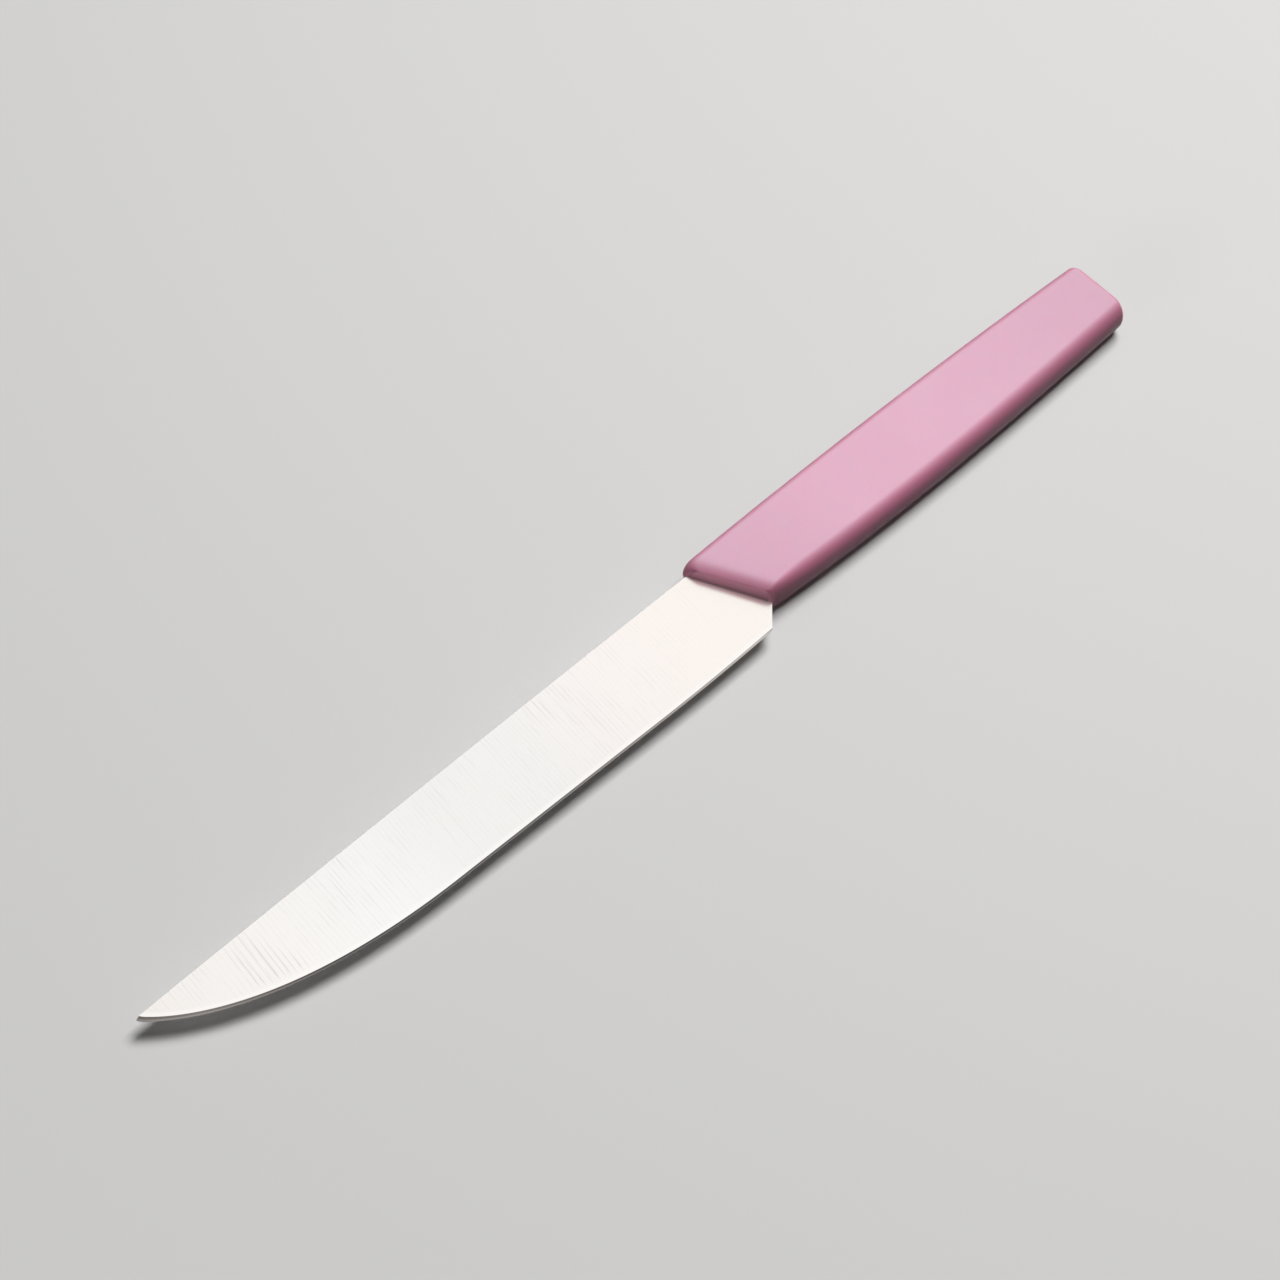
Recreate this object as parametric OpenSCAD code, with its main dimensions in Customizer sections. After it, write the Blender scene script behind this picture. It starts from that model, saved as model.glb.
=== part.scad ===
// Steak knife lying on its side: a flat ground steel blade in a handle moulded in two shots.
// X runs from the tip to the butt, the cutting edge faces -Y, and the flat side of the
// handle rests on Z = 0. Depths are measured from the line of the spine towards the edge.

/* [Overall] */
// Length of the knife from tip to butt
knife_l = 240; // [220:1:270]
// Length of the handle, measured along the line of the spine
handle_l = 105; // [95:0.5:120]

/* [Blade outline] */
// Depth of the blade at its heel
blade_w = 19.8; // [18:0.1:24]
// Length of the curved belly, from the tip to where the edge runs straight
belly_l = 63; // [45:1:85]
// How far the line of the straight edge falls between the belly and the heel
edge_fall = 1.5; // [0:0.1:2.5]
// How far the edge curves up from that line at the heel
heel_rise = 0.75; // [0:0.05:1]
// Length over which it does so
heel_run = 28; // [10:1:40]
// How far the spine falls from mid length to the handle
spine_bow = 0.27; // [0:0.01:0.6]
// How far the spine falls towards the tip, most of it close to the tip
tip_fall = 0.2; // [0:0.05:0.3]
// Depth of the tip point
tip_drop = 0.45; // [0.3:0.05:1]
// Length of the blunter end of the tip
tip_l = 1.2; // [0.8:0.1:2]
// Depth of the blade where the blunter end begins
tip_w = 1.95; // [1.6:0.05:2.6]
// Angle between the heel cut and the length of the knife
heel_angle = 48; // [40:1:70]
// Distance from the heel cut to the lower front corner of the handle
heel_step = 0.15; // [0.05:0.05:1.5]

/* [Blade section] */
// Thickness of the spine at the handle
spine_t = 1.5; // [1.2:0.1:2]
// Thickness of the spine at the tip
spine_tip_t = 0.7; // [0.6:0.05:1.1]
// Thickness behind the edge bevel along the straight edge
edge_t = 0.3; // [0.25:0.05:0.3]
// Thickness behind the edge bevel at the tip
edge_tip_t = 0.55; // [0.5:0.05:0.6]
// Width of the edge bevel along the straight edge
bevel_w = 0.45; // [0.45:0.05:0.6]
// Width of the edge bevel at the tip
bevel_tip_w = 0.95; // [0.8:0.05:1.1]
// Share of the bevel that the steeper final hone takes
hone_share = 0.45; // [0.35:0.05:0.45]
// Angle of the final hone on each side
hone_angle = 22; // [21:1:24]
// Size of the eased corners along the spine
spine_ease = 0.2; // [0.1:0.05:0.3]

/* [Tang] */
// How far the full depth of the blade runs into the handle
root_l = 4; // [2:0.5:6]
// Length of the tang behind the root of the blade
tang_l = 66; // [40:1:75]
// Depth of the tang at the root
tang_root_w = 9; // [7:0.5:10]
// Depth of the tang at its end
tang_end_w = 7; // [6:0.5:8]
// Cut corners at the end of the tang
tang_corner = 1.5; // [0.5:0.1:2.5]
// Diameter of the holes that the handle is moulded through
tang_hole_d = 4; // [2.5:0.1:4.5]
// Number of those holes
tang_holes = 3; // [1:1:4]

/* [Handle] */
// Thickness across the two flat sides
handle_t = 10; // [9:0.1:13]
// Width at the front
front_w = 16.8; // [15.5:0.1:19]
// Width at mid length
mid_w = 18.55; // [17:0.05:22]
// Width at the butt
butt_w = 15.15; // [13.5:0.05:18]
// Where the greatest width lies: 1 for mid length, smaller for further forward
width_lead_share = 0.85; // [0.7:0.05:1]
// Height of the back of the handle above the spine line at the front
front_rise = 1.35; // [1:0.05:2]
// Height of the back of the handle above the spine line at mid length
mid_rise = 1.2; // [1:0.05:2.5]
// Depth of the back of the handle below the spine line at the butt
butt_fall = 0.75; // [0:0.05:2]
// Angle by which the front face leans from square, lower corner to the rear
front_slant = 30.5; // [20:0.5:35]
// Angle by which the butt leans from square, lower corner to the rear
butt_slant = 3; // [0:0.5:8]
// Depth of the rounding of the back
back_round = 2.4; // [1.8:0.1:4]
// Depth of the rounding of the belly side
belly_round = 2.8; // [1.8:0.1:4]
// Depth of that rounding at the front face, where it is tighter
belly_front_round = 1.2; // [0.8:0.1:1.8]
// Length over which it opens to its full depth
belly_open_l = 12; // [6:1:30]
// Angle by which the front face leans back from the plane of the blade towards each flat
front_lean = 4.6; // [0:0.1:6]
// Depth of the soft roll where the flat sides run down to the front face
rim_w = 1.3; // [0.8:0.05:1.3]
// Length of that roll
rim_l = 4.5; // [3:0.1:6]
// Rounding where the belly side meets the front face
rim_side_r = 0.5; // [0.3:0.05:0.9]
// Depth of the rounding where the back meets the front face
corner_w = 1.8; // [1:0.1:2.4]
// Length of that rounding
corner_l = 3; // [1:0.1:5]
// Rounding of the edges of the butt
butt_r = 1.4; // [0.8:0.1:2.5]

/* [Two shots] */
// Wall of the soft outer skin over the flats of the core
skin_w = 1.4; // [1.4:0.05:1.6]
// Wall of the skin at the back and the belly side
skin_side_w = 0.8; // [0.6:0.05:1.2]
// Wall of the skin at the butt
skin_butt_w = 3; // [2:0.1:5]
// How far the nose of the core stands proud of the front of the skin
nose_proud = 0.1; // [0.1:0.05:0.3]
// Eased edge of the nose
nose_ease = 0.1; // [0.05:0.05:0.1]
// Rounding of the rear end of the core
core_end_r = 1; // [0.5:0.1:1.5]

/* [Hidden] */

steel_colour = [0.93, 0.92, 0.90];
skin_colour = [0.886, 0.706, 0.784];
core_colour = [0.78, 0.55, 0.65];

// Every cut runs this far past what it cuts
overrun = 1;
// How far the tang reaches forward into the root of the blade, to be one piece with it
tang_lap = 1;

// Steps of the curves
tip_steps = 4;
belly_steps = 30;
straight_steps = 8;
heel_steps = 10;
side_steps = 16;
core_side_steps = 10;
length_steps = 32;
front_steps = 11;
butt_steps = 6;
hole_steps = 48;

// Control points of the belly curve, as shares of its length and of its depth
belly_rear_shares = [0.45, 0.975];
belly_tip_shares = [0.163, 0.5];
// Where the handle of the tip curve lies on the line of the belly, as a share of tip_l
tip_pull_share = 0.82;
// How closely the fall of the spine and the wider bevel keep to the tip
tip_fall_power = 6;
tip_bevel_power = 3;
// The bevel and the eased corner may take these shares of the depth of the blade
bevel_limit_share = 0.7;
ease_limit_share = 0.15;
// Places of the tang holes between the root and the end, as shares of the tang
first_hole_share = 0.2;
last_hole_share = 0.84;
// The roundings of the core are this share of those of the skin
core_round_share = 0.65;
// How closely the roll of the flats keeps to the front face
roll_power = 3;

blade_l = knife_l - handle_l;
half_t = handle_t / 2;
front_l = max(corner_l, rim_l);
belly_w = blade_w + heel_rise - edge_fall;
core_corner_w = corner_w - skin_side_w / 2;

function lerp(a, b, share) = a + (b - a) * share;
function flatten(lists) = [for (list = lists) each list];

// Value at a share from 0 to 1 of the smooth curve through three values
function through(first, middle, last, share) =
    first * (1 - share) * (1 - 2 * share)
    + middle * 4 * share * (1 - share)
    + last * share * (2 * share - 1);

function bezier2(p, t) =
    p[0] * pow(1 - t, 2) + p[1] * 2 * t * (1 - t) + p[2] * pow(t, 2);

function bezier3(p, t) =
    p[0] * pow(1 - t, 3)
    + p[1] * 3 * t * pow(1 - t, 2)
    + p[2] * 3 * (1 - t) * pow(t, 2)
    + p[3] * pow(t, 3);

// How far a rounding draws a side in at a distance from the end that it rounds
function drawn_in(depth, length, distance) =
    distance >= length ? 0 : depth * (1 - sqrt(1 - pow(1 - distance / length, 2)));

// The same for a roll that starts at a slant and flattens out
function rolled_in(depth, length, distance) =
    depth * pow(max(0, 1 - distance / length), roll_power);

// Solid through rings of equally many points, each ring running anticlockwise seen from +X.
// It closes with a fan to the point apex at its low end and is flat at its high end.
module loft(rings, apex) {
    count = len(rings[0]);
    last = len(rings) - 1;
    walls = [
        for (i = [0:last - 1], j = [0:count - 1])
            let (a = i * count + j, b = i * count + (j + 1) % count)
                each [[a, b + count, b], [a, a + count, b + count]]
    ];
    low_end = [for (j = [0:count - 1]) [j, (j + 1) % count, len(rings) * count]];
    high_end = [[for (j = [count - 1:-1:0]) last * count + j]];
    polyhedron(
        points = concat(flatten(rings), [apex]),
        faces = concat(low_end, walls, high_end)
    );
}

// Place of the front face of the handle at a depth
function front_x(depth) = blade_l + depth * tan(front_slant);

// Outline of the blade, as [x, depth]

heel_exit_w = front_w - front_rise - heel_step;
heel_exit_x = front_x(heel_exit_w);
heel_x = heel_exit_x - (blade_w - heel_exit_w) / tan(heel_angle);
root_edge_x = front_x(blade_w) + root_l;
root_spine_x = blade_l + root_l;

function spine_depth(x) =
    let (share = 2 * x / blade_l - 1)
        share < 0 ? tip_fall * pow(-share, tip_fall_power) : spine_bow * pow(share, 2);

function edge_depth(x) =
    lerp(belly_w, blade_w + heel_rise, (x - belly_l) / (heel_x - belly_l))
    - heel_rise * pow(max(0, 1 + (x - heel_x) / heel_run), 2);

belly_curve = [
    [tip_l, tip_w],
    [belly_tip_shares[0] * belly_l, belly_tip_shares[1] * belly_w],
    [belly_rear_shares[0] * belly_l, belly_rear_shares[1] * belly_w],
    [belly_l, belly_w]
];
tip_slope = (belly_curve[1] - belly_curve[0]) / (belly_curve[1][0] - tip_l);
tip_curve = [
    [0, tip_drop],
    belly_curve[0] - tip_slope * tip_l * tip_pull_share,
    belly_curve[0]
];

// The edge from just behind the tip point to the root
edge_line = concat(
    [for (i = [1:tip_steps]) bezier2(tip_curve, i / tip_steps)],
    [for (i = [1:belly_steps]) bezier3(belly_curve, i / belly_steps)],
    [
        for (i = [1:straight_steps])
            let (x = lerp(belly_l, heel_x - heel_run, i / straight_steps))
                [x, edge_depth(x)]
    ],
    [
        for (i = [1:heel_steps])
            let (x = lerp(heel_x - heel_run, root_edge_x, i / heel_steps))
                [x, edge_depth(x)]
    ]
);

// The section of the blade that starts at the edge point e and leans back to the spine.
// It runs from the eased spine, down the flat face, over the bevel and the hone to the edge.
function blade_ring(e) =
    let (
        share = e[0] / root_edge_x,
        spine_x = lerp(tip_l, root_spine_x, share),
        s = [spine_x, spine_depth(spine_x)],
        tipness = max(0, 1 - e[0] / belly_l),
        reach = norm(e - s),
        towards = (e - s) / reach,
        full_bevel = lerp(bevel_w, bevel_tip_w, pow(tipness, tip_bevel_power)),
        bevel = min(full_bevel, reach * bevel_limit_share),
        hone = bevel * hone_share,
        ease = min(spine_ease, reach * ease_limit_share),
        back_z = lerp(spine_tip_t, spine_t, share) / 2,
        face_z = lerp(edge_t, edge_tip_t, tipness) / 2,
        hone_z = hone * tan(hone_angle),
        upper = [
            [0, back_z - ease],
            [ease, back_z],
            [reach - bevel, face_z],
            [reach - hone, hone_z]
        ],
        lower = [for (i = [3:-1:0]) [upper[i][0], -upper[i][1]]],
        section = concat(upper, [[reach, 0]], lower)
    )
    [for (p = section) let (q = s + towards * p[0]) [q[0], -q[1], p[1]]];

// Everything on the lower right of the heel line
module heel_cut() {
    reach = blade_w + root_edge_x - heel_x;
    translate([heel_x, -blade_w, 0])
        rotate(heel_angle)
            translate([0, -reach / 2, 0])
                cube([2 * reach, reach, spine_t + 2 * overrun], center = true);
}

// Places of the tang in depth follow the middle of the handle
tang_root_d = handle_mid_d(0);
tang_root_x = front_x(tang_root_d) + root_l;
tang_end_x = tang_root_x + tang_l;
tang_end_d = handle_mid_d((tang_end_x - blade_l) / handle_l);

module tang() {
    lap_x = tang_root_w / 2 * tan(front_slant);
    outline = [
        [tang_root_x - tang_lap - lap_x, tang_root_d - tang_root_w / 2],
        [tang_end_x - tang_corner, tang_end_d - tang_end_w / 2],
        [tang_end_x, tang_end_d - tang_end_w / 2 + tang_corner],
        [tang_end_x, tang_end_d + tang_end_w / 2 - tang_corner],
        [tang_end_x - tang_corner, tang_end_d + tang_end_w / 2],
        [tang_root_x - tang_lap + lap_x, tang_root_d + tang_root_w / 2]
    ];
    difference() {
        mirror([0, 1, 0])
            linear_extrude(spine_t, center = true)
                polygon(outline);
        for (i = [0:tang_holes - 1]) {
            share = tang_holes == 1
                ? first_hole_share
                : lerp(first_hole_share, last_hole_share, i / (tang_holes - 1));
            translate([
                lerp(tang_root_x, tang_end_x, share),
                -lerp(tang_root_d, tang_end_d, share),
                0
            ])
                cylinder(h = spine_t + 2 * overrun, d = tang_hole_d, center = true, $fn = hole_steps);
        }
    }
}

module blade_form() {
    difference() {
        loft([for (e = edge_line) blade_ring(e)], apex = [0, -tip_drop, 0]);
        heel_cut();
    }
    tang();
}

// Depths of the back and of the belly side at a share of the length of the handle
function back_d(share) = through(-front_rise, -mid_rise, butt_fall, share);

function belly_d(share) =
    back_d(share) + through(front_w, mid_w, butt_w, pow(max(0, share), width_lead_share));

function handle_mid_d(share) = (back_d(share) + belly_d(share)) / 2;

// Place of the end face of the butt at a depth
function butt_x(depth) = knife_l - (belly_d(1) - butt_r - depth) * tan(butt_slant);

function belly_round_at(along) =
    lerp(belly_front_round, belly_round, sin(90 * min(1, max(0, along) / belly_open_l)));

// A section of the handle at a distance along it, in a plane that leans as the front face
// does and swings to that of the butt: flat above and below, half ellipses at both sides.
// The back, the belly side and the flats are drawn in by back_in, belly_in and thin, and
// near the front face the ring leans back towards both flats.
function handle_ring(along, back_in, belly_in, thin, round_share, steps) =
    let (
        share = along / handle_l,
        back = back_d(share) + back_in,
        belly = belly_d(share) - belly_in,
        back_x = lerp(front_x(back_d(0)), butt_x(back_d(1)), share),
        belly_x = lerp(front_x(belly_d(0)), butt_x(belly_d(1)), share),
        width = belly_d(share) - back_d(share),
        z = half_t - thin,
        lean = tan(front_lean) * max(0, 1 - along / front_l),
        back_r = back_round * round_share,
        belly_r = belly_round_at(along) * round_share,
        section = concat(
            [
                for (i = [0:steps])
                    let (a = 180 * i / steps - 90)
                        [back + back_r * (1 - cos(a)), z * sin(a)]
            ],
            [
                for (i = [0:steps])
                    let (a = 90 - 180 * i / steps)
                        [belly - belly_r * (1 - cos(a)), z * sin(a)]
            ]
        )
    )
    [
        for (p = section)
            let (x = lerp(back_x, belly_x, (p[0] - back_d(share)) / width))
                [x + lean * abs(p[1]), -p[0], p[1]]
    ];

// Middle of a section of the handle, on the line where both halves of it meet
function section_middle(ring) =
    let (half = len(ring) / 2, side = (half - 1) / 2)
        (ring[side] + ring[side + half]) / 2;

// Distances along the rounded front of the handle, closer together towards its face
front_places = [for (i = [0:front_steps]) front_l * (1 - cos(90 * i / front_steps))];

// The outer form of the handle
module handle_form() {
    front = [
        for (along = front_places)
            [
                along,
                drawn_in(corner_w, corner_l, along),
                drawn_in(rim_side_r, rim_side_r, along),
                rolled_in(rim_w, rim_l, along)
            ]
    ];
    middle = [
        for (i = [1:length_steps - 1])
            [lerp(front_l, handle_l - butt_r, i / length_steps), 0, 0, 0]
    ];
    butt = [
        for (i = [butt_steps:-1:0])
            let (a = 90 * i / butt_steps, off = butt_r * (1 - sin(a)))
                [handle_l - butt_r * (1 - cos(a)), off, off, off]
    ];
    rings = [
        for (s = concat(front, middle, butt))
            handle_ring(s[0], s[1], s[2], s[3], 1, side_steps)
    ];
    loft(rings, section_middle(rings[0]));
}

// The outer form of the core, from its nose with an eased edge to its rounded rear end.
// The nose reaches forward of the skin by proud.
module core_form(proud) {
    rear = handle_l - skin_butt_w;
    nose = [[-proud, nose_ease], [nose_ease - proud, 0]];
    front = [for (along = front_places) [along, 0]];
    middle = [
        for (i = [1:length_steps - 1])
            [lerp(front_l, rear - core_end_r, i / length_steps), 0]
    ];
    end = [
        for (i = [butt_steps:-1:0])
            let (a = 90 * i / butt_steps)
                [rear - core_end_r * (1 - cos(a)), core_end_r * (1 - sin(a))]
    ];
    rings = [
        for (s = concat(nose, front, middle, end))
            let (
                side = skin_side_w + s[1],
                back_in = side + drawn_in(core_corner_w, corner_l, max(0, s[0]))
            )
                handle_ring(
                    s[0], back_in, side, skin_w + s[1], core_round_share, core_side_steps
                )
    ];
    loft(rings, section_middle(rings[0]));
}

// The origin is at the middle of the base of the whole knife
module placed() {
    top = max([for (i = [0:length_steps]) -back_d(i / length_steps)]);
    bottom = max([for (e = edge_line) e[0] < heel_x ? e[1] : 0]);
    translate([-knife_l / 2, (bottom - top) / 2, half_t])
        children();
}

// One piece of steel: the visible blade, its root inside the handle and the tang
module blade() {
    color(steel_colour)
        placed()
            blade_form();
}

// The first shot: it fills the handle round the tang and through its holes
module handle_core() {
    color(core_colour)
        placed()
            difference() {
                core_form(nose_proud);
                blade_form();
            }
}

// The second shot: the soft outer skin, closed at the butt and open at the nose
module handle_skin() {
    color(skin_colour)
        placed()
            difference() {
                handle_form();
                core_form(overrun);
                blade_form();
            }
}

blade();
handle_core();
handle_skin();
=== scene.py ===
"""Looks of a steak knife: a ground steel blade in a handle that is moulded in two shots.

Sizes are in millimetres on the knife's own lines. x runs from the tip to the butt, depth
runs from the line of the spine towards the edge, and height is measured from the plane of
the blade. Layout.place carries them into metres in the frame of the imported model. Only
the floor and the lamps have their sizes in metres.
"""

import logging
from dataclasses import dataclass, field
from enum import Enum
from typing import Callable, Iterable, Sequence, Tuple, Union

import bmesh
import bpy
import numpy as np
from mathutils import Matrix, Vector


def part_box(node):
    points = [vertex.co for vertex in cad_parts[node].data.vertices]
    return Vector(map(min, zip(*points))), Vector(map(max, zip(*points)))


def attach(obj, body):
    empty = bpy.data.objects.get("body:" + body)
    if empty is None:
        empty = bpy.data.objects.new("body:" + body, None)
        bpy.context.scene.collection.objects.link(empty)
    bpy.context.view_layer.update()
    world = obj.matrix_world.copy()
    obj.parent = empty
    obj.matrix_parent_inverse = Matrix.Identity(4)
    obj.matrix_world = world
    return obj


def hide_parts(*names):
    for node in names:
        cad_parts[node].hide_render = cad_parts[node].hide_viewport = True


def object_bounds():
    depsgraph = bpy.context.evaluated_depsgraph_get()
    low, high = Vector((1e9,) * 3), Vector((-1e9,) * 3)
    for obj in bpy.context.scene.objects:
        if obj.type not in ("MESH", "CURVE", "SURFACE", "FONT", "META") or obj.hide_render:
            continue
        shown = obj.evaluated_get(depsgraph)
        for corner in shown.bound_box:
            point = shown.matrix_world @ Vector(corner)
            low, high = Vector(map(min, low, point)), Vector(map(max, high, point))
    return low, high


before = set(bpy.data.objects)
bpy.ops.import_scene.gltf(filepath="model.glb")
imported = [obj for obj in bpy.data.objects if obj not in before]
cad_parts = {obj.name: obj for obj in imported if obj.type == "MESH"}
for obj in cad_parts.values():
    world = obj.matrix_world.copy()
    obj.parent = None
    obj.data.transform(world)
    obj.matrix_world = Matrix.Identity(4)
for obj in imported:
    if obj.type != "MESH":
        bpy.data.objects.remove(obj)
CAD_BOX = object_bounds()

Array = np.ndarray
Point = Tuple[float, float, float]
Colour = Tuple[float, float, float]
Range = Tuple[float, ...]
Stops = Tuple[Tuple[float, Union[float, Colour]], ...]

MM = 0.001
BODY = "root"
MERGE_WITHIN = 1e-7
LEAST_EDGE = 1e-8

log = logging.getLogger("steak_knife")


# Plain mathematics

def lerp(low: Array, high: Array, share: Array) -> Array:
    """Straight blend: low + (high - low) * share."""
    return low + (high - low) * share


def tangent(degrees: Array) -> Array:
    """Tangent of an angle in degrees."""
    return np.tan(np.radians(degrees))


def through(first: float, middle: float, last: float, share: Array) -> Array:
    """Parabola through three values at the shares 0, 1/2 and 1."""
    return (first * (1 - share) * (1 - 2 * share) + middle * 4 * share * (1 - share)
            + last * share * (2 * share - 1))


def bezier(points: Array, share: Array) -> Array:
    """Point on a Bezier curve by repeated straight blends of its control points.

    Args:
        points: control points, one row each.
        share: places on the curve from 0 to 1.

    Returns:
        One row for each place.
    """
    level = [np.outer(np.ones_like(share), p) for p in points]
    while len(level) > 1:
        level = [lerp(a, b, share[:, None]) for a, b in zip(level, level[1:])]
    return level[0]


def drawn_in(depth: float, length: float, distance: Array) -> Array:
    """How far a quarter ellipse of that depth and length draws a side in near its end."""
    left = np.clip(1 - distance / length, 0, 1)
    return depth * (1 - np.sqrt(1 - left**2))


def rolled_in(depth: float, length: float, distance: Array) -> Array:
    """How far a roll draws a flat in: depth (1 - distance/length)^3, and 0 past it."""
    return depth * np.clip(1 - distance / length, 0, None) ** 3


def soft_min(a: Array, b: Array, blend: float) -> Array:
    """The smaller of two values, rounded over where they are closer than blend."""
    h = np.clip(0.5 + 0.5 * (b - a) / blend, 0, 1)
    return lerp(b, a, h) - blend * h * (1 - h)


def eased_places(length: float, steps: int) -> Array:
    """Distances from 0 to length that crowd towards 0: length (1 - cos a)."""
    return length * (1 - np.cos(np.linspace(0, np.pi / 2, steps + 1)))


def with_inset(along: Array) -> Array:
    """Rows of a distance along and nothing drawn in."""
    return np.stack([along, np.zeros_like(along)], -1)


def both_faces(upper: Array, mirror: float = 1.0) -> Array:
    """Rings from rows of the upper face: each runs back over the lower one."""
    return np.hstack([upper, mirror * upper[:, ::-1]])


# The knife's lines

@dataclass(frozen=True)
class Layout:
    """Sizes that blade and handle share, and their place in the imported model."""

    knife_l: float = 240.0
    handle_l: float = 105.0
    handle_t: float = 10.0
    front_slant: float = 30.5
    spine_y: float = field(default_factory=lambda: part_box("blade")[1].y / MM)

    @property
    def blade_l(self) -> float:
        """Length of the blade along the spine."""
        return self.knife_l - self.handle_l

    @property
    def lean(self) -> float:
        """Run of the front face for each millimetre of depth."""
        return float(tangent(self.front_slant))

    def front_x(self, depth: Array) -> Array:
        """Place of the handle's front face at a depth."""
        return self.blade_l + depth * self.lean

    def place(self, x: Array, depth: Array, height: Array) -> Array:
        """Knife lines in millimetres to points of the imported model's frame in metres."""
        moved = (x - self.knife_l / 2, self.spine_y - depth, height + self.handle_t / 2)
        return np.stack(np.broadcast_arrays(*moved), axis=-1) * MM

    def height(self, points: Array) -> Array:
        """Distance of placed points from the plane of the blade, in millimetres."""
        return np.abs(points[..., 2] / MM - self.handle_t / 2)


# Meshes

def linked(name: str, data: bpy.types.ID) -> bpy.types.Object:
    """Puts a new object in the scene.

    Args:
        name: name of the object.
        data: its mesh, lamp or camera.

    Returns:
        The object.
    """
    made = bpy.data.objects.new(name, data)
    bpy.context.scene.collection.objects.link(made)
    return made


@dataclass
class Rings:
    """A closed surface: rings of equally many points, one after another.

    The values are numbers that its points carry, by name.
    """

    points: Array
    values: dict = field(default_factory=dict)

    @staticmethod
    def _with_poles(grid: Array) -> Array:
        """The rows of a grid in turn, then the means of the first and the last one."""
        return np.concatenate([*grid, grid[[0, -1]].mean(1)])

    def mesh(self, name: str, material: bpy.types.Material) -> bpy.types.Object:
        """Builds the surface, closed at both ends by a fan to the middle of the ring.

        Point j of ring i has the number i m + j. A quad joins it to point j+1 and to the
        next ring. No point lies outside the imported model's box.

        Args:
            name: name of the object.
            material: what it is made of.

        Returns:
            The smooth-shaded object, with its faces outwards.
        """
        rows, cols = self.points.shape[:2]
        verts = np.clip(self._with_poles(self.points), *np.array(CAD_BOX))
        grid = np.arange(rows * cols).reshape(rows, cols)
        onward = np.roll(grid, -1, axis=1)
        quads = np.stack([grid[:-1], onward[:-1], onward[1:], grid[1:]], -1).reshape(-1, 4)
        low, high = (
            np.stack([np.full(cols, rows * cols + pole), *rim], -1)
            for pole, rim in enumerate(((onward[0], grid[0]), (grid[-1], onward[-1])))
        )
        data = bpy.data.meshes.new(name)
        data.from_pydata(verts.tolist(), [], quads.tolist() + low.tolist() + high.tolist())
        for key, value in self.values.items():
            data.attributes.new(key, "FLOAT", "POINT").data.foreach_set(
                "value", self._with_poles(value).astype(np.float32))
        self._clean(data)
        data.materials.append(material)
        return linked(name, data)

    @staticmethod
    def _clean(data: bpy.types.Mesh) -> None:
        """Merges points that coincide, turns the faces outwards and shades them smooth.

        Args:
            data: the mesh.
        """
        work = bmesh.new()
        work.from_mesh(data)
        bmesh.ops.remove_doubles(work, verts=work.verts, dist=MERGE_WITHIN)
        bmesh.ops.dissolve_degenerate(work, edges=work.edges, dist=LEAST_EDGE)
        bmesh.ops.recalc_face_normals(work, faces=work.faces)
        for face in work.faces:
            face.smooth = True
        work.to_mesh(data)
        work.free()
        data.update()


# Shader nodes

def sign(operation: str, swapped: bool = False) -> Callable[["Value", "Input"], "Value"]:
    """A sign of arithmetic that adds a Math node.

    Args:
        operation: what the node does.
        swapped: whether the value on the right comes first.

    Returns:
        A method for Value.
    """
    def method(self: "Value", other: "Input") -> "Value":
        """The result of the node."""
        return self.nodes.maths(operation, *((other, self) if swapped else (self, other)))
    return method


class Value:
    """An output in a node tree, with which sums can be written."""

    def __init__(self, nodes: "Nodes", socket: bpy.types.NodeSocket) -> None:
        """Keeps the output and the nodes that it belongs to."""
        self.nodes = nodes
        self.socket = socket

    __add__ = sign("ADD")
    __sub__ = sign("SUBTRACT")
    __rsub__ = sign("SUBTRACT", swapped=True)
    __mul__ = sign("MULTIPLY")
    __truediv__ = sign("DIVIDE")
    __pow__ = sign("POWER")


Input = Union[Value, float, str, Sequence[float]]


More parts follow.
